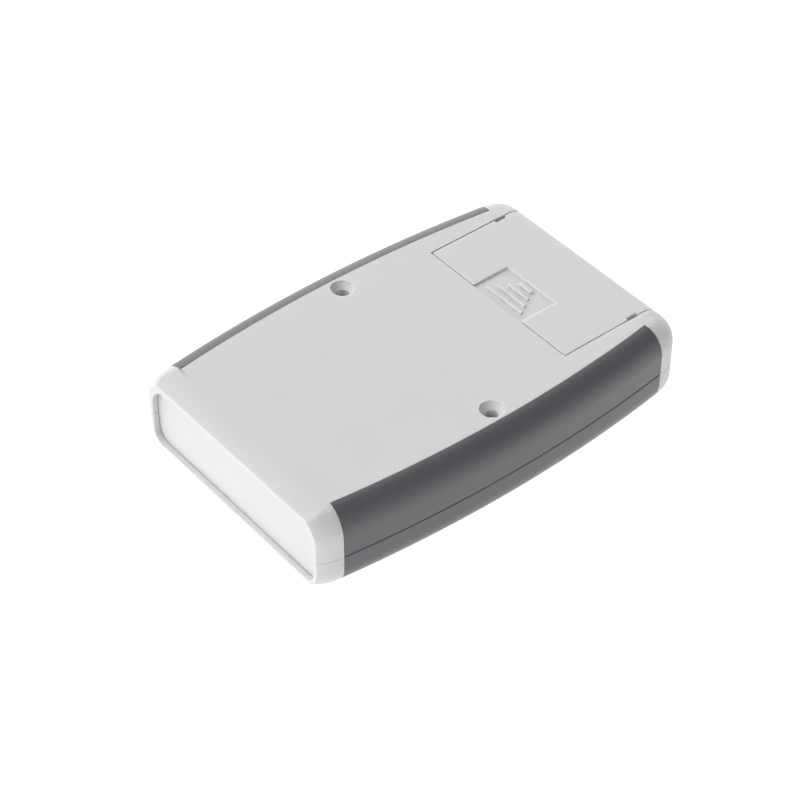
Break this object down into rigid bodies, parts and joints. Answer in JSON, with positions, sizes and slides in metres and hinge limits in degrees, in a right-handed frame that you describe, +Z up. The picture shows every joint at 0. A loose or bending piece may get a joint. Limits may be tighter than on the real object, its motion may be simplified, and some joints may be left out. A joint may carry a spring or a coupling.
{
  "type": "handheld enclosure",
  "caption": "Handheld plastic case with bowed soft-grip sides, a recessed end panel, countersunk case screw holes and a battery door that slides off the rear",
  "frame": {"origin": "middle of the underside, on the surface that the case lies on, front face down", "axes": "+X runs along the case from the end panel to the battery end, +Y across it, +Z up through the rear face"},
  "size_m": [0.117, 0.079, 0.024],
  "materials": {
    "shell": "fine moulded texture",
    "grip": "satin soft-touch",
    "contact": "nickel plated"
  },
  "bodies": {
    "case": {"rear_shell": "shell", "front_shell": "shell", "rear_grip_left": "grip", "rear_grip_right": "grip", "front_grip_left": "grip", "front_grip_right": "grip", "end_panel": "shell", "contact_negative": "contact", "contact_positive": "contact", "contact_bridge": "contact"},
    "door": {"battery_door": "shell"}
  },
  "joints": [
    {"name": "battery_door_slide", "type": "slide", "parent": "case", "child": "door", "axis": [1, 0, 0], "range_m": [0, 0.036]}
  ]
}
